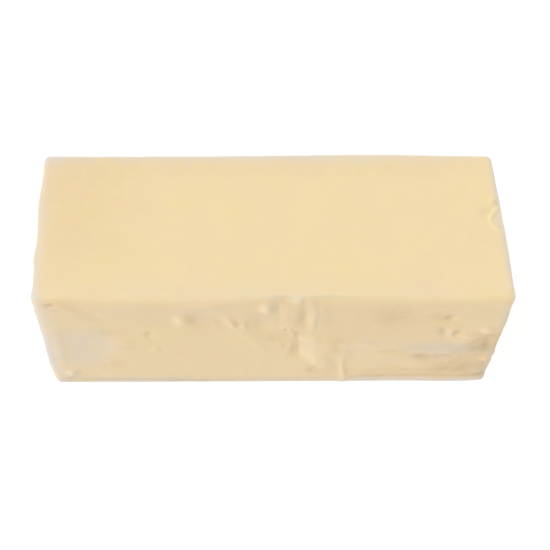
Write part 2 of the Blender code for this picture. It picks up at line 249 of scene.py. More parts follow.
# The left end: three lumps under the top edge, a swollen corner towards the front, and the cross.
LEFT = (
    Swell((-15, 90), (12, 15), 1.3),
    Swell((21, 90), (7.5, 12), 1.2),
    Swell((46, 94), (4, 6), 0.5),
    Swell((47, 32), (11, 18), 0.9),
    Swell((47, 18), (8, 12), 0.8),
    Swell((52, 2), (6, 6), -0.7),
    Swell((50, 68), (8, 9), 0.4),
    Crease(((-60, 51), (-42, 49), (-20, 47), (8, 49.5), (30, 48), (42, 50)), 1.15, 2.0, 0.7),
    Crease(((-47, 93), (-36, 74), (-26, 61), (-18, 44)), 0.95, 2.2, 0.6),
    Crease(((47, 92), (38, 76), (28, 60), (22, 45)), 0.9, 2.0, 0.6),
    Crease(((-46, 7), (-36, 20), (-26, 34), (-12, 50)), 0.9, 1.9, 0.55),
    Crease(((42, 8), (36, 20), (30, 34), (24, 52)), 0.85, 2.1, 0.55),
    Swell((2, 68), (13, 9), 0.5),
    Swell((5, 27), (16, 10), -0.4),
)

# The right end: the same cross, skewed, meeting the tuck that comes round the front corner.
RIGHT = (
    Swell((-8, 93), (38, 20), 1.3),
    Swell((-46, 95), (5, 4.5), 0.5),
    Swell((-47, 70), (6, 15), 0.6),
    Swell((-48, 27), (6, 7), 0.5),
    Swell((-50, 8), (7, 6), -0.6),
    Crease(((-47, 55), (-40, 53), (-26, 50), (-4, 53), (22, 49), (60, 53)), 1.0, 1.9, 0.6),
    Crease(((-45, 93), (-36, 76), (-28, 62), (-23, 45)), 0.7, 1.9, 0.45),
    Crease(((46, 92), (36, 76), (26, 62), (19, 45)), 0.7, 2.1, 0.45),
    Crease(((-56, 22), (-44, 32), (-34, 37), (-22, 53)), 0.8, 2.0, 0.5),
    Crease(((46, 5), (37, 20), (29, 32), (17, 53)), 0.6, 1.9, 0.35),
    Swell((-6, 72), (15, 11), 0.4),
    Swell((6, 25), (17, 11), 0.4),
)

print("marks on the top:", len(TOP), "on the left end:", len(LEFT), "on the right end:", len(RIGHT))


# %% [markdown]
# ## The back
#
# The back carries the same sorts of marks as the front, but nobody needs to know where each one is. They
# are thrown at random from a fixed seed, so that they come out the same every time.

# %% The marks on the back, over (-x, z)
BACK_SEED = 27
BACK_KNOBS = 12
BACK_CREASES = 6
BACK_REACH, BACK_LOW, BACK_HIGH = 118.0, 12.0, 88.0
BACK_SWELL = Swell((-50, 96), (48, 20), 1.5)  # the top edge is proud over one half of the back too

# The least and the most of a knob's half-widths, and the heights to choose from. Below zero it is a dent.
KNOB_ACROSS, KNOB_UPWARD = (2.0, 6.0), (2.0, 5.0)
KNOB_HEIGHTS = (-0.8, -0.5, 0.6, 0.9)

# A crease starts in the upper half, heads down, and turns by a few tenths of a radian at each short run.
CREASE_LOWEST_START = 45
CREASE_HEADINGS, CREASE_TURN = (-2.3, -0.8), 0.45
CREASE_RUNS, CREASE_RUN = 4, 12
CREASE_DEPTHS, CREASE_WIDTHS, CREASE_LIPS = (0.3, 0.8), (1.6, 2.6), (0.2, 0.7)


def thrown_back():
    """The marks on the back, over (-x, z)."""
    draw = random.Random(BACK_SEED)
    marks = [BACK_SWELL]
    for _ in range(BACK_KNOBS):
        centre = (draw.uniform(-BACK_REACH, BACK_REACH), draw.uniform(BACK_LOW, BACK_HIGH))
        size = (draw.uniform(*KNOB_ACROSS), draw.uniform(*KNOB_UPWARD))
        marks.append(Swell(centre, size, draw.choice(KNOB_HEIGHTS)))
    for number in range(BACK_CREASES):
        x = -BACK_REACH + 2 * BACK_REACH * (number + draw.random()) / BACK_CREASES
        z = draw.uniform(CREASE_LOWEST_START, BACK_HIGH)
        heading = draw.uniform(*CREASE_HEADINGS)
        route = [(x, z)]
        for _ in range(CREASE_RUNS):
            heading += draw.uniform(-CREASE_TURN, CREASE_TURN)
            x += CREASE_RUN * math.cos(heading)
            z += CREASE_RUN * math.sin(heading)
            route.append((x, z))
        sizes = [draw.uniform(*limits) for limits in (CREASE_DEPTHS, CREASE_WIDTHS, CREASE_LIPS)]
        marks.append(Crease(tuple(route), *sizes))
    return tuple(marks)


BACK = thrown_back()
print("marks on the back:", len(BACK))


# %% [markdown]
# ## How far away a crease is
#
# A fold in cheese bends, but it has no corners. So the few points of a route are first joined by a smooth
# line. The line is then walked along in short straight runs, to find how far each point of the surface is
# from the nearest of them. numpy works on every point of the block at once, which keeps this quick.

# %% From points of a route to distances
def rounded_route(route):
    """The points of a route with its corners rounded, by Catmull-Rom curves through the same points."""
    ends = (2 * route[0] - route[1], 2 * route[-1] - route[-2])
    knots = [ends[0], *route, ends[1]]
    line = []
    for before, start, end, after in zip(knots, knots[1:], knots[2:], knots[3:]):
        for step in range(ROUTE_STEPS):
            share = step / ROUTE_STEPS
            bend = 2 * before - 5 * start + 4 * end - after
            twist = 3 * start - before - 3 * end + after
            line.append(start + share / 2 * (end - before + share * (bend + share * twist)))
    return [*line, route[-1]]


def to_route(u, v, route):
    """How far the points (u, v) are from a route, to its left and along it, and how long the route is."""
    line = rounded_route([np.array(point, float) for point in route])
    nearest = np.full(u.shape, np.inf)
    left = np.zeros(u.shape)
    along = np.zeros(u.shape)
    run = 0.0
    for (u0, v0), (u1, v1) in zip(line, line[1:]):
        du, dv = u1 - u0, v1 - v0
        length = math.hypot(du, dv)
        share = np.clip(((u - u0) * du + (v - v0) * dv) / length**2, 0, 1)
        distance = np.hypot(u - u0 - share * du, v - v0 - share * dv)
        side = (v - v0) * du - (u - u0) * dv
        closer = distance < nearest
        nearest = np.where(closer, distance, nearest)
        left = np.where(closer, np.sign(side) * distance, left)
        along = np.where(closer, run + share * length, along)
        run += length
    return nearest, left, along, run


fold_route = [np.array(place) for place in FRONT[0].route]
print("points of the fold's groove:", len(fold_route), "and once rounded:", len(rounded_route(fold_route)))


# %% [markdown]
# ## From a mark to a height
#
# A swell is a bell curve in two directions. A crease is a bell curve across its route, turned down, with a
# second one beside it for the lip. Both curves fade in and out along the route, so that it ends in no step.

# %% How high a swell or a crease stands
LIP_AWAY, LIP_BREADTH = 2, 1.3  # where the lip stands, and how broad it is, in widths of the groove
GROOVE_PATCHY = 0.5  # the groove comes and goes half as much as the lip does


def soft_step(share):
    """Goes from 0 to 1 with no corner at either end."""
    share = np.clip(share, 0, 1)
    return share * share * (3 - 2 * share)


def swell_height(u, v, mark):
    """The height of one swelling at the points (u, v)."""
    cos, sin = math.cos(mark.tilt), math.sin(mark.tilt)
    du, dv = u - mark.centre[0], v - mark.centre[1]
    across = (cos * du + sin * dv) / mark.size[0]
    upward = (cos * dv - sin * du) / mark.size[1]
    return mark.height * np.exp(-np.abs(across) ** mark.power - np.abs(upward) ** mark.power)


def crease_height(u, v, mark, patchy):
    """The height of one crease at the points (u, v): a groove along its route, and the lip on its left."""
    distance, left, along, run = to_route(u, v, mark.route)
    fade = soft_step(np.minimum(along, run - along) / min(CREASE_FADE, run / 3))
    groove = -mark.depth * np.exp(-((distance / mark.width) ** 2))
    lip = mark.lip * np.exp(-(((left - LIP_AWAY * mark.width) / (LIP_BREADTH * mark.width)) ** 2))
    return fade * (groove * (1 + GROOVE_PATCHY * patchy) + lip * (1 + patchy))


def relief(u, v, marks, patchy):
    """The height of all the marks of one side at the points (u, v)."""
    total = np.zeros(u.shape)
    for mark in marks:
        total += swell_height(u, v, mark) if isinstance(mark, Swell) else crease_height(u, v, mark, patchy)
    return total


boldest = max((mark for mark in FRONT if isinstance(mark, Swell)), key=lambda mark: mark.height)
print("the boldest swell on the front stands", boldest.height, "mm high, at", boldest.centre)


# %% [markdown]
# ## The uneven hand of the curd
#
# Real cheese has no ruled line on it. Smooth noise moves every mark sideways by up to a millimetre, makes
# the creases deeper here and shallower there, and adds slow waves to the flat sides.
#
# Blender's noise that gives a direction starts from the clock, and would move the marks differently each
# time. It gets a seed first, so that the block always comes out the same.

# %% Noise, waver and swell
def noise_at(points, length):
    """Smooth noise from -1 to 1, of the given grain, at points in millimetres."""
    return np.array([noise.noise(Vector(point) / length) for point in points])


def wavered(points):
    """The same points, moved about a little, to look the marks up at."""
    noise.seed_set(WAVER_SEED)
    shifts = np.array([noise.noise_vector(Vector(point) / WAVER_LENGTH) for point in points])
    return points + WAVER * shifts


def pillow(points):
    """A slight swell of each side towards its middle."""
    x, y, z = points.T
    reach = np.stack([x / HALF_L, y / HALF_D, z / (HEIGHT / 2) - 1])
    spread = np.sort(np.abs(reach), axis=0)[:2]  # the two directions that lie in the side
    return PILLOW * (1 - spread[0] ** 2) * (1 - spread[1] ** 2)


front_middle = np.array([[0, -HALF_D, HEIGHT / 2]])
print("waver at the middle of the front, in mm:", (wavered(front_middle) - front_middle)[0].round(2))


# %% [markdown]
# ## The blank
#
# A cube at the loaf's real size is the simplest start. Its edges are rounded by a bevel while it still has
# only twelve of them, and then every long edge is cut into short cells. This gives a clean grid that runs
# round the rounded edges, which a subdivided cube wouldn't.

# %% A rounded block in small cells
NEARLY_ALL = 0.999  # an edge runs along an axis if this share of its length does
SHORTEST_CUT = 4 * EDGE_RADIUS  # the little edges round the corners stay whole


def blank():
    """The plain block, in millimetres."""
    bm = bmesh.new()
    bmesh.ops.create_cube(bm, size=1)
    bmesh.ops.scale(bm, vec=(LENGTH, DEPTH, HEIGHT), verts=bm.verts)
    bmesh.ops.translate(bm, vec=(0, 0, HEIGHT / 2), verts=bm.verts)
    bmesh.ops.bevel(
        bm,
        geom=bm.edges[:],
        offset=EDGE_RADIUS,
        offset_type="OFFSET",
        segments=EDGE_STEPS,
        profile=0.5,
        affect="EDGES",
    )
    for axis, cell in enumerate((CELL_X, CELL_Y, CELL_Z)):
        long_edges = []
        for edge in bm.edges:
            run = edge.verts[1].co - edge.verts[0].co
            if abs(run[axis]) > NEARLY_ALL * run.length and run.length > SHORTEST_CUT:
                long_edges.append(edge)
        cuts = round(long_edges[0].calc_length() / cell) - 1
        bmesh.ops.subdivide_edges(bm, edges=long_edges, cuts=cuts)
    bm.normal_update()
    return bm


loaf_mesh = blank()
print("points in the blank:", len(loaf_mesh.verts))


# %% [markdown]
# ## Working the relief in
#
# Each point looks up the marks of the sides that it faces, and moves straight out of or into that side. On
# a rounded edge a point faces two sides at once, so it takes a share of both, and a fold that reaches an
# edge runs over it. The underside stays flat, because the loaf rests on it.

# %% Pushing the surface in and out
def sculpt(bm):
    """Moves every point of the blank by the relief, and stands the block over the middle of the floor."""
    points = np.array([vert.co for vert in bm.verts])
    normals = np.array([vert.normal for vert in bm.verts])
    x, y, z = wavered(points).T
    patchy = PATCHY * noise_at(points, PATCHY_LENGTH)
    waves = WAVE_HEIGHT * noise_at(points, WAVE_LENGTH) + RIPPLE_HEIGHT * noise_at(points, RIPPLE_LENGTH)
    push = normals * (waves + pillow(points))[:, None]
    push[:, 1] -= relief(x, z, FRONT, patchy) * soft_step(-normals[:, 1])
    push[:, 1] += relief(-x, z, BACK, patchy) * soft_step(normals[:, 1])
    push[:, 2] += relief(x, y, TOP, patchy) * soft_step(normals[:, 2])
    push[:, 0] -= relief(-y, z, LEFT, patchy) * soft_step(-normals[:, 0])
    push[:, 0] += relief(y, z, RIGHT, patchy) * soft_step(normals[:, 0])
    pushed = points + push * soft_step(points[:, 2] / FOOT_BLEND)[:, None]
    pushed[:, 2] = np.maximum(pushed[:, 2], 0)
    pushed[:, 0] += PLAN_SKEW * pushed[:, 1] / DEPTH
    middle = (pushed.min(axis=0) + pushed.max(axis=0)) / 2
    pushed[:, :2] -= middle[:2]
    pushed = np.clip(pushed, *box_mm)  # the finer skin stays inside the plain model's box
    for vert, place in zip(bm.verts, pushed):
        vert.co = Vector(place) * MM
    return middle


plain_points = np.array([vert.co for vert in loaf_mesh.verts])  # kept for looking up the stains
plain_normals = np.array([vert.normal for vert in loaf_mesh.verts])
shift = sculpt(loaf_mesh)
print("moved to the middle by", [round(float(value), 2) for value in -shift[:2]], "mm")


# %% [markdown]
# ## The skin in the plain model's place
#
# The sculpted points become an object of their own, shaded smooth, as the cells are far smaller than the
# marks. It rides on the block's one body, and stands in for the plain model's one node.

# %% One object for the loaf
mesh = bpy.data.meshes.new("mozzarella_loaf")
loaf_mesh.to_mesh(mesh)
loaf_mesh.free()
mesh.shade_smooth()
loaf = bpy.data.objects.new("mozzarella_loaf", mesh)
bpy.context.scene.collection.objects.link(loaf)
print("faces in the skin:", len(mesh.polygons))

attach(loaf, "root")
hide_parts("mozzarella_block")


# %% [markdown]
# ## Where the cheese is paler, and painted highlights
#
# Under a bag the surface dries and sweats unevenly, and leaves a pale, greyish bloom of moisture. The same
# pale colour also paints light in: painted sheen on the flats where the film was drawn tight, painted
# highlights along the rims and on the crests of the fold and its knobs, and a painted reflection of the
# white table along the foot. It is what keeps a plain yellow block from looking like wax.
#
# A painted picture would show it too, but it would have to be unwrapped and kept beside the script. These
# places are soft marks like those of the relief instead, over the same two directions of each side.

# %% The pale bloom and the painted highlights
BLOOM_AND_HIGHLIGHT_FRONT = (
    # The flat at the left where the bag pulled tight, with painted sheen on it, and a painted highlight on
    # the rounded corner beside it.
    Swell((-109, 45), (15, 24), 0.42, -0.1, 4),
    Swell((-92, 47), (8, 7), 0.22, 0.6),
    Swell((-114, 36), (6, 11), 0.14),
    Swell((-132.5, 43), (6, 26), 0.95, 0.0, 6),
    Swell((-128, 84), (6, 14), 0.6),
    Swell((-124, 46), (2.6, 22), 0.45),
    Swell((-127, 14), (6, 9), 0.45),
    Swell((-119.2, 13), (4, 5), 0.3),
    Swell((-126.5, 4), (4, 5), 0.5),
    # Painted sheen on the patch over the ledge, towards the tuck at the right, and painted highlights on
    # the tuck's rim and the right corner.
    Swell((97, 45), (20, 7), 0.46, -0.15, 3),
    Swell((68, 48), (16, 5), 0.15, -0.15),
    Swell((115, 40), (12, 8), 0.08, 0.3),
    Swell((48, 46), (10, 8), 0.12),
    Swell((54, 53), (14, 3), 0.2),
    Swell((93, 33.5), (11, 5), 0.2),
    Swell((70, 43.5), (5, 3), 0.22),
    Swell((96, 61), (4, 4), 0.2),
    Swell((60, 28), (14, 6), 0.08),
    Swell((112, 59), (5.5, 2.6), 0.25),
    Swell((121, 66), (4, 3), 0.3),
    Swell((100.5, 61.5), (4, 4), 0.2),
    Swell((116, 84), (14, 9), 0.08),
    Swell((128, 13), (5, 8), 0.3),
    Swell((127.6, 14), (4, 7), 0.22),
    Swell((129, 37), (3.5, 7), 0.45),
    Swell((129.5, 80), (3, 10), 0.6),
    # Painted highlights on the crests of the curd fold and its knobs.
    Swell((13.4, 98.5), (3.5, 3.5), 0.45),
    Swell((2.6, 98.6), (4, 2.2), 0.3),
    Swell((1.0, 93), (2.4, 4.5), 0.2),
    Swell((-3.6, 89.5), (3, 4.5), 0.35),
    Swell((20.6, 93), (3, 5), 0.2),
    Swell((22, 80), (3, 12), 0.15),
    Swell((20.5, 58), (6, 3), 0.22),
    Swell((20.6, 50), (5, 9), 0.18, 0.13, 6),
    Swell((24.8, 34), (3.2, 10), 0.1, 0.2, 6),
    # A faint band under the top edge, and a painted reflection of the white table along the foot.
    Swell((-36, 84), (90, 10), 0.12, 0.0, 4),
    Swell((-20, 3.6), (112, 5.0), 0.4, 0.0, 4),
    Swell((-80, 7.5), (36, 5), 0.2, 0.0, 4),
    Swell((92, 2.5), (46, 4.4), 0.5, 0.0, 6),
    Swell((112, 1.5), (24, 3.8), 0.45, 0.0, 4),
)
BLOOM_AND_HIGHLIGHT_TOP = (
    # Painted highlights along the rims: left, right, back and front.
    Swell((-131, -10), (5.5, 70), 0.5),
    Swell((-131, 0), (2.4, 60), 0.35),
    Swell((-129.5, -46), (2.8, 9), 0.4),
    Swell((131, 0), (3.0, 60), 0.5),
    Swell((-20, 50.5), (150, 5.8), 0.78),
    Swell((0, 49), (150, 9), 0.12),
    Swell((0, -46), (124, 9), 0.14, 0.0, 4),
    Swell((4, -49), (44, 3.5), 0.18),
    Swell((-125, 47), (9, 6), 0.4),
)
# On the ends: painted highlights on the rounded front corner of the left end and along the right end's top
# rim, and pale bloom. On the back: pale bloom.
BLOOM_AND_HIGHLIGHT_LEFT = (
    Swell((52, 44), (8, 28), 0.7, 0.0, 3),
    Swell((52, 90), (9, 14), 0.6),
    Swell((-20, 30), (16, 14), 0.3),
    Swell((-38, 75), (14, 12), 0.2),
)
BLOOM_AND_HIGHLIGHT_RIGHT = (
    Swell((-20, 30), (16, 14), 0.3),
    Swell((25, 68), (14, 12), 0.2),
    Swell((0, 97), (60, 4), 0.42, 0.0, 4),
)
BLOOM_AND_HIGHLIGHT_BACK = (Swell((-70, 60), (24, 14), 0.32), Swell((85, 35), (20, 16), 0.36))
print("bloom marks on the front:", len(BLOOM_AND_HIGHLIGHT_FRONT))


# %% [markdown]
# ## Where the cheese is deeper in colour
#
# Whey that stood in the hollows under the film soaked in, and left the curd a little browner: in the dents
# beside the fold, behind the tuck, and along the foot, where the bag's seam held it.

# %% The whey stains and the painted shade
WHEY_AND_SHADE_FRONT = (
    # Painted shade in the hollows behind the tuck at the right, in the corner below it and along the ledge,
    # and some whey stain.
    Swell((124.5, 48), (4.8, 8.5), 0.52, 0.3),
    Swell((131.5, 54), (2.2, 20), 0.35),
    Swell((117, 46), (7, 6), 0.35, 0.5),
    Swell((117, 38), (13, 9), 0.42, 0.0, 3),
    Swell((130, 15), (6, 13), 0.6),
    Swell((112, 20), (18, 9), 0.55, 0.0, 3),
    Swell((78, 14), (26, 6), 0.25, 0.0, 4),
    Swell((92, 45), (20, 8), 0.18),
    Swell((92, 34), (12, 5.5), 0.56),
    Swell((70, 43.5), (5, 3), 0.24),
    Swell((112, 59), (5.5, 2.6), 0.12),
    Swell((102, 62), (2.6, 3.2), 0.16),
    Swell((122, 65), (3.6, 2.2), 0.14),
    Swell((116, 84), (14, 9), 0.07),
    # Painted shade in the pits and dents above the ledge.
    Swell((68, 80), (10, 10), 0.3),
    Swell((95, 79), (9, 6), 0.2),
    Swell((97, 65), (4, 5), 0.35),
    Swell((96, 60.5), (3, 3), 0.15),
    Swell((125, 55), (4, 3), 0.2),
    Swell((62, 76), (34, 20), 0.09, 0.0, 4),
    # The curd fold: painted shade in its grooves, and in the torn dents beside the flap.
    Swell((4.4, 98.2), (7, 2.2), 0.2, 0.35),
    Swell((4.4, 95), (3.4, 3), 0.2),
    Swell((17.0, 80), (2.0, 11), 0.2),
    Swell((21.6, 77.6), (2.2, 9.5), 0.1),
    Swell((13.7, 60), (1.6, 5), 0.4),
    Swell((13.5, 47), (3, 10), 0.28, 0.0, 3),
    Swell((19.4, 51), (2.6, 4), 0.18),
    Swell((25, 17), (4, 5), 0.4),
    Swell((35, 20), (5, 14), 0.12),
    # Left of the fold: painted shade in the hollows between the knobs, and in the short pinch under the top
    # left corner.
    Swell((4.6, 57), (7, 5), 0.2),
    Swell((-6.5, 73), (4, 9), 0.16),
    Swell((-26, 75), (3, 5), 0.1),
    Swell((-42, 80), (6, 8), 0.12),
    Swell((-36, 84), (90, 10), 0.06, 0.0, 4),
    Swell((-93, 64), (7, 5), 0.3),
    Swell((-93, 26), (6, 6), 0.14),
    Swell((-100, 82), (7, 4), 0.1, -0.5),
    Swell((-116, 93), (8, 5), 0.18),
    Swell((-121.5, 93.5), (3, 1.8), 0.25),
    # The foot: a painted contact shadow.
    Swell((-72, 5.4), (44, 2.2), 0.4, 0.0, 4),
    Swell((-70, 4.5), (54, 3.6), 0.14, 0.0, 4),
    Swell((-120, 7), (3.4, 3), 0.25),
    Swell((0, 5.0), (46, 3.6), 0.22, 0.0, 4),
    Swell((90, 8.5), (46, 2.2), 0.2, 0.0, 6),
    Swell((122, 9), (12, 4), 0.35),
)
# On the top, the ends and the back: whey stains, and painted shade in the flake's dent on the top, along
# the upper rim of the left end and behind the tuck on the right end.
WHEY_AND_SHADE_TOP = (
    Swell((-112, 20), (34, 46), 0.14, 0.0, 3),
    Swell((0, 50), (140, 16), 0.09, 0.0, 4),
    Swell((129.4, 15.2), (1.8, 1.8), 0.35),
    Swell((122.0, 8), (3, 4.5), 0.25),
)
WHEY_AND_SHADE_LEFT = (Swell((48, 95), (12, 6), 0.35), Swell((0, 97), (60, 5), 0.25, 0.0, 4))
WHEY_AND_SHADE_RIGHT = (Swell((-50, 54), (8, 26), 0.5, 0.0, 4), Swell((10, 20), (20, 12), 0.2))
WHEY_AND_SHADE_BACK = (Swell((20, 30), (26, 12), 0.18, 0.1), Swell((-110, 20), (12, 14), 0.28, -0.3))
print("whey marks on the front:", len(WHEY_AND_SHADE_FRONT))


# %% [markdown]
# ## Where the curd is fresh, and painted highlights
#
# Where a flake came off the right edge, fresh curd shows: a brighter yellow, which covers the bloom. The
# same colour is also a painted highlight: along the flake's crescent, on the two large knobs of the front,
# and on the top of the flap.

# %% The fresh curd and the painted highlights
FRESH_AND_HIGHLIGHT_FRONT = (
    # Painted highlights on the two large knobs and on the top of the flap.
    Swell((-50.2, 77.6), (3.6, 4.4), 0.3),
    Swell((-3.6, 89.6), (2.6, 3.2), 0.3),
    Swell((20.5, 57), (6, 3), 0.35),
)
FRESH_AND_HIGHLIGHT_TOP = (
    # The flake's crescent: fresh curd, with a painted highlight along its ridge.
    Swell((127.4, 9.2), (3.6, 1.3), 0.8, 0.9),
    Swell((124.0, 3.4), (1.5, 3.4), 1.0, 0.1),
    Swell((126.4, -3.0), (3.4, 1.4), 0.8, -0.85),
    Swell((126.2, 16.8), (1.3, 2.4), 0.8),
)
print("marks of fresh curd:", len(FRESH_AND_HIGHLIGHT_FRONT) + len(FRESH_AND_HIGHLIGHT_TOP))


# %% [markdown]
# ## Four values on every point
#
# The material has to know where these marks are. Each set is summed into one number from 0 to 1 at every
# point of the mesh, and kept there under a name: the pale bloom with its painted highlights, the whey with
# its painted shade, and the fresh curd with its painted highlights. A fourth tells the sides from the top,
# so that the sides can take on painted warm bounce light from the table. The marks are looked up at the
# same wavering points as the relief, so that a stain or a painted shade follows its dent.

# %% Storing the bloom, the whey, the fresh curd and the painted bounce light
def store(mesh, name, values):
    """Keeps one number for each point of the mesh, under a name that a material can read."""
    layer = mesh.attributes.new(name, "FLOAT", "POINT")
    layer.data.foreach_set("value", np.clip(values, 0, 1).astype(np.float32))
    print(f"{name} is above a third on {np.mean(values > 1 / 3):.0%} of the points")


wavering_points = wavered(plain_points)


def tone(front=(), top=(), left=(), right=(), back=()):
    """The sum of soft marks at every point, each set counting on the side that it is written for."""
    x, y, z = wavering_points.T
    facing_x, facing_y, facing_z = plain_normals.T
    total = np.zeros(len(plain_points))
    for marks, u, v, facing in (
        (front, x, z, -facing_y),
        (top, x, y, facing_z),
        (left, -y, z, -facing_x),
        (right, y, z, facing_x),
        (back, -x, z, facing_y),
    ):
        share = soft_step(facing)
        for mark in marks:
            total += swell_height(u, v, mark) * share
    return total


def painted_bounce_sides():
    """0 on the top, and 1 on the sides and the underside, which take on painted warm bounce light from the
    table.
    """
    return soft_step(1 - 2 * plain_normals[:, 2])


store(mesh, "bloom_and_highlight", tone(BLOOM_AND_HIGHLIGHT_FRONT, BLOOM_AND_HIGHLIGHT_TOP, BLOOM_AND_HIGHLIGHT_LEFT, BLOOM_AND_HIGHLIGHT_RIGHT, BLOOM_AND_HIGHLIGHT_BACK))
store(mesh, "whey_and_shade", tone(WHEY_AND_SHADE_FRONT, WHEY_AND_SHADE_TOP, WHEY_AND_SHADE_LEFT, WHEY_AND_SHADE_RIGHT, WHEY_AND_SHADE_BACK))
store(mesh, "fresh_and_highlight", tone(FRESH_AND_HIGHLIGHT_FRONT, FRESH_AND_HIGHLIGHT_TOP))
store(mesh, "painted_bounce", painted_bounce_sides())


# %% [markdown]
# ## Colours and nodes
#
# Colours are picked as sRGB hex values, as on a screen, and the shader needs them linear. One more helper
# adds a node, sets its values and joins it up, so that a material reads as a short list.

# %% From hex to linear, and adding a node
def from_hex(code):
    """The linear colour, with alpha, of an sRGB hex code."""
    channels = [int(code[start : start + 2], 16) / 255 for start in (1, 3, 5)]
    linear = [c / 12.92 if c <= 0.04045 else ((c + 0.055) / 1.055) ** 2.4 for c in channels]
    return (*linear, 1.0)


def add_node(tree, kind, links=None, values=None, **settings):
    """Adds a node, sets its properties and input values, and links other nodes' outputs to its inputs."""
    node = tree.nodes.new(kind)
    for name, value in settings.items():
        setattr(node, name, value)
    for name, value in (values or {}).items():
        node.inputs[name].default_value = value
    for name, source in (links or {}).items():
        tree.links.new(source, node.inputs[name])
    return node


print("mid grey on a screen is this much light:", round(from_hex("#808080")[0], 3))


# %% [markdown]
# ## Low-moisture mozzarella: what it is made of
#
# Curd is heated and pulled until it runs in threads, packed hot into a mould, cooled in brine and sealed in
# a bag. The eye meets this at four sizes: clouds of warmer and yellower tint as wide as two fingers, the
# welded lumps of curd, the knit of pulled threads in them, and a fine grain of fat.
#
# One noise texture for each size is the plain way to make them, each scaled from its real width. They are
# noise in the solid, not a picture wrapped round it, so they run over the edges with no seam.

# %% The colours and sizes in the cheese
CHEESE, CHEESE_WARM, CHEESE_STRAW = "#F4DEB1", "#F3DAB3", "#F2DEA9"
# The next four colours: a warmer tint for the sides, which is painted bounce light from the table; a pale
# bloom that also paints highlights, sheen and the table's reflection; a whey stain that also paints shade
# in the hollows and a contact shadow at the foot; and fresh curd that also paints highlights.
PAINTED_BOUNCE_COLOUR, BLOOM_AND_HIGHLIGHT, WHEY_AND_SHADE, FRESH_AND_HIGHLIGHT = "#FBDEB0", "#E6DCCF", "#D8BB8F", "#FBE9B4"
TINT = 0.5  # the most that a cloud takes on of its warmer or yellower colour
# How far the sides take on the painted bounce light.
PAINTED_BOUNCE_SHARE = 0.65  # and the upright sides of the pressed colour
CLOUD_WIDTH, CURD_WIDTH, KNIT_WIDTH = 26.0, 7.0, 2.8  # millimetres
GRAIN_WIDTH = 0.9  # the real grain is a tenth of this, too fine to show, so it is drawn coarser


def per_metre(width):
    """The noise scale that makes features of this width in millimetres."""
    return 1 / (width * MM)


widths = (CLOUD_WIDTH, CURD_WIDTH, KNIT_WIDTH, GRAIN_WIDTH)
print("noise scales:", [round(per_metre(width)) for width in widths])


# %% [markdown]
# ## Mixing values and colours
#
# Five small helpers keep the material readable. One mixes two colours by a value, one stretches a value
# over another range, and one multiplies two values. The last two give values to start from: noise of a real
# width, and a value that was stored on the mesh.

# %% Mix, spread, multiply, noise and stored values
MIX_FIRST, MIX_SECOND, MIX_RESULT = 6, 7, 2  # the colour sockets of a Mix node come after those for numbers


def mix_colours(tree, share, first, second):
    """The colour that goes from the first to the second as the share goes from 0 to 1."""
    node = add_node(tree, "ShaderNodeMix", data_type="RGBA")
    sockets = (node.inputs["Factor"], node.inputs[MIX_FIRST], node.inputs[MIX_SECOND])
    for socket, value in zip(sockets, (share, first, second)):
        if isinstance(value, bpy.types.NodeSocket):
            tree.links.new(value, socket)
        else:
            socket.default_value = value
    return node.outputs[MIX_RESULT]


def spread(tree, value, low, high, to_low=0.0, to_high=1.0):
    """Maps the stretch of a value from low to high onto another stretch, and holds it at the ends."""
    limits = {"From Min": low, "From Max": high, "To Min": to_low, "To Max": to_high}
    return add_node(tree, "ShaderNodeMapRange", {"Value": value}, limits, clamp=True).outputs["Result"]


def multiply(tree, first, second):
    """The product of two values, kept from 0 to 1."""
    links = {0: first, 1: second}
    return add_node(tree, "ShaderNodeMath", links, operation="MULTIPLY", use_clamp=True).outputs[0]


def noise_of(tree, width, **values):
    """Noise with features of this width, in the loaf's own space, so that it is fixed to the cheese."""
    place = add_node(tree, "ShaderNodeTexCoord").outputs["Object"]
    values = {"Scale": per_metre(width), **values}
    return add_node(tree, "ShaderNodeTexNoise", {"Vector": place}, values).outputs["Fac"]


def stored(tree, name):
    """A value that was stored on the points of the mesh."""
    return add_node(tree, "ShaderNodeAttribute", attribute_name=name).outputs["Fac"]


print("a Mix node takes its two colours on sockets", MIX_FIRST, "and", MIX_SECOND)


# %% [markdown]
# ## The cheese as a material
#
# The colour is laid down in this order: clouds in the curd, then a warmer tint on the sides that is painted
# bounce light from the table, whey stains that also paint shade into the hollows and along the foot, a pale
# bloom that also paints highlights, sheen and the table's reflection, and fresh curd with painted
# highlights over all. The curd noise makes the stains and the bloom patchy, as they never dry evenly.
#
# The surface was moulded, then sealed, so it is satin: a little greasy, with small bumps that only break up
# the sheen. Light goes a few millimetres into cheese before it comes out again, so small shadows fill with
# warm light. That is subsurface scattering, and without it the block would look like painted plaster.

# %% Low-moisture mozzarella
NOISE_LOW, NOISE_MIDDLE, NOISE_HIGH = 0.3, 0.5, 0.7  # nearly all of a noise lies from low to high
MOTTLE = (0.65, 1.35)  # what the curd multiplies a stain by, at the least and at the most
CURD_BUMP, KNIT_BUMP, GRAIN_BUMP = (0.5, 0.16), (0.5, 0.26), (0.4, 0.04)  # strength, and height in mm
GREASY, DRIER = 0.38, 0.5  # roughness where the curd lies low, and where it stands high


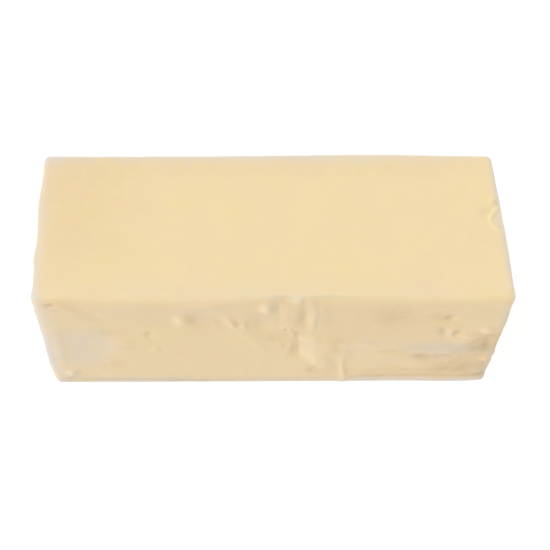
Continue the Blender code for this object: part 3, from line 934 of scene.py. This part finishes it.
def cheese_colour(tree, cloud, curd):
    """Clouds, painted bounce on the sides, whey with painted shade, then bloom and fresh curd with painted
    highlights.
    """
    warm = spread(tree, cloud, NOISE_MIDDLE, NOISE_HIGH, 0.0, TINT)
    straw = spread(tree, cloud, NOISE_MIDDLE, NOISE_LOW, 0.0, TINT)
    colour = mix_colours(tree, warm, from_hex(CHEESE), from_hex(CHEESE_WARM))
    colour = mix_colours(tree, straw, colour, from_hex(CHEESE_STRAW))
    # Painted bounce light: the upright sides take on a warmer colour, as if lit from the table.
    tinted = mix_colours(tree, PAINTED_BOUNCE_SHARE, colour, from_hex(PAINTED_BOUNCE_COLOUR))
    colour = mix_colours(tree, stored(tree, "painted_bounce"), colour, tinted)
    mottle = spread(tree, curd, NOISE_LOW, NOISE_HIGH, *MOTTLE)
    # Whey stains with painted shade, then the pale bloom with painted highlights, both made patchy by the
    # curd.
    for name, code in (("whey_and_shade", WHEY_AND_SHADE), ("bloom_and_highlight", BLOOM_AND_HIGHLIGHT)):
        colour = mix_colours(tree, multiply(tree, stored(tree, name), mottle), colour, from_hex(code))
    return mix_colours(tree, stored(tree, "fresh_and_highlight"), colour, from_hex(FRESH_AND_HIGHLIGHT))


def cheese_bumps(tree, layers):
    """One bump node on another: each layer is its noise, its strength and its height in millimetres."""
    normal = {}
    for height, strength, distance in layers:
        links = {"Height": height, **normal}
        values = {"Strength": strength, "Distance": distance * MM}
        normal = {"Normal": add_node(tree, "ShaderNodeBump", links, values).outputs["Normal"]}
    return normal["Normal"]


def make_mozzarella():
    """Pulled curd, moulded and bagged. To the eye: pale straw, satin, softly lit from within."""
    material = bpy.data.materials.new("low_moisture_mozzarella")
    material.use_nodes = True
    tree = material.node_tree
    shader = tree.nodes["Principled BSDF"]
    cloud = noise_of(tree, CLOUD_WIDTH, Detail=2.0, Roughness=0.5)
    curd = noise_of(tree, CURD_WIDTH, Detail=3.0, Roughness=0.55, Distortion=0.6)
    knit = noise_of(tree, KNIT_WIDTH, Detail=2.0, Roughness=0.5, Distortion=0.8)
    grain = noise_of(tree, GRAIN_WIDTH, Detail=2.0, Roughness=0.6)
    tree.links.new(cheese_colour(tree, cloud, curd), shader.inputs["Base Color"])
    bumps = cheese_bumps(tree, ((curd, *CURD_BUMP), (knit, *KNIT_BUMP), (grain, *GRAIN_BUMP)))
    tree.links.new(bumps, shader.inputs["Normal"])
    # The hollows between the lumps of curd stay greasy, and the lumps are drier.
    roughness = spread(tree, curd, NOISE_LOW, NOISE_HIGH, GREASY, DRIER)
    tree.links.new(roughness, shader.inputs["Roughness"])
    shader.inputs["IOR"].default_value = 1.44  # milk fat is 1.45, and the water in the curd brings it down
    shader.inputs["Specular IOR Level"].default_value = 0.3
    shader.inputs["Subsurface Weight"].default_value = 0.5
    shader.inputs["Subsurface Radius"].default_value = (2.2, 1.7, 1.1)  # millimetres: red goes deepest
    shader.inputs["Subsurface Scale"].default_value = MM
    print("nodes in the cheese:", len(tree.nodes))
    return material


loaf.data.materials.append(make_mozzarella())


# %% [markdown]
# ## The floor
#
# The block lies on a lit white table, as where food is pictured for a shop. A table that glows by itself
# stays white whatever the lamps do. It also sends light back up onto the sides and the foot, so the block
# has hardly a shadow.

# %% The white table
FLOOR_WIDTH = 40  # metres, wide enough that its edge is never seen
FLOOR_GREY, FLOOR_GLOW = 0.08, 0.95


def make_floor():
    """A wide matt plane that glows white."""
    bpy.ops.mesh.primitive_plane_add(size=FLOOR_WIDTH)
    floor = bpy.context.object
    floor.name = "floor"
    material = bpy.data.materials.new("white_light_table")
    material.use_nodes = True
    shader = material.node_tree.nodes["Principled BSDF"]
    shader.inputs["Base Color"].default_value = (FLOOR_GREY, FLOOR_GREY, FLOOR_GREY, 1)
    shader.inputs["Roughness"].default_value = 0.9
    shader.inputs["Specular IOR Level"].default_value = 0.0
    shader.inputs["Emission Color"].default_value = (1, 1, 1, 1)
    shader.inputs["Emission Strength"].default_value = FLOOR_GLOW
    floor.data.materials.append(material)
    print("a white table", FLOOR_WIDTH, "m wide")


make_floor()


# %% [markdown]
# ## The light
#
# A bright, soft room, and two broad lamps. The stronger one stands high at the left, a little in front, and
# gives each knob a lit side and a shaded one. The weaker one fills in from behind at the right. Both are
# far away, so that the light is the same along the whole loaf. Their width sets how soft the shadows are.

# %% Room and lamps
ROOM_STRENGTH = 0.45


def make_room():
    """Even white light from all round."""
    world = bpy.data.worlds.new("soft_room")
    world.use_nodes = True
    background = world.node_tree.nodes["Background"]
    background.inputs["Color"].default_value = (1, 1, 1, 1)
    background.inputs["Strength"].default_value = ROOM_STRENGTH
    bpy.context.scene.world = world
    print("the room shines at", ROOM_STRENGTH)


def make_lamp(name, place, strength, width):
    """A far lamp that shines at the loaf from its place. Its width is its angle in the sky, in degrees."""
    light = bpy.data.lights.new(name, "SUN")
    light.angle = math.radians(width)
    light.energy = strength
    lamp = bpy.data.objects.new(name, light)
    lamp.location = place
    aim = Vector((0, 0, HEIGHT / 2 * MM)) - lamp.location
    lamp.rotation_euler = aim.to_track_quat("-Z", "Y").to_euler()
    bpy.context.scene.collection.objects.link(lamp)
    print(name, "stands", round(math.degrees(math.asin(-aim.normalized().z))), "degrees high")


make_room()
make_lamp("upper_left_lamp", place=(-0.60, -0.20, 0.83), strength=1.72, width=35)
make_lamp("right_rear_fill", place=(0.75, 0.45, 0.53), strength=0.8, width=60)


# %% [markdown]
# ## The camera
#
# The loaf is looked down on at nearly sixty degrees, from about two thirds of a metre, with a short
# telephoto lens. Near as that is, the front comes out wider than the back. The camera also turns a little
# on its own axis, as a hand-held one does, which a look-at constraint wouldn't allow, so its three axes are
# worked out here.

# %% Placing the camera
AZIMUTH, ELEVATION, ROLL = math.radians(-2.53), math.radians(57.42), math.radians(1.98)
DISTANCE = 674.5 * MM
AIM = Vector((3.2, -1.6, 49.3)) * MM
LENS, SENSOR = 73.8, 36  # millimetres


def camera_axes():
    """The directions to the right of the camera, above it and straight ahead of it."""
    flat = math.cos(ELEVATION)
    forward = Vector((-math.sin(AZIMUTH) * flat, math.cos(AZIMUTH) * flat, -math.sin(ELEVATION)))
    level = Vector((math.cos(AZIMUTH), math.sin(AZIMUTH), 0))
    upright = level.cross(forward)
    right = math.cos(ROLL) * level + math.sin(ROLL) * upright
    up = math.cos(ROLL) * upright - math.sin(ROLL) * level
    return right, up, forward


def place_camera():
    """A camera at its distance from the point that it is aimed at."""
    data = bpy.data.cameras.new("camera")
    data.lens = LENS
    data.sensor_width = SENSOR
    camera = bpy.data.objects.new("camera", data)
    right, up, forward = camera_axes()
    turn = Matrix((right, up, -forward)).transposed().to_4x4()
    camera.matrix_world = Matrix.Translation(AIM - DISTANCE * forward) @ turn
    bpy.context.scene.collection.objects.link(camera)
    bpy.context.scene.camera = camera
    print("the camera stands at", [round(float(value), 3) for value in camera.matrix_world.translation])


place_camera()
bpy.context.scene.view_settings.view_transform = "Standard"
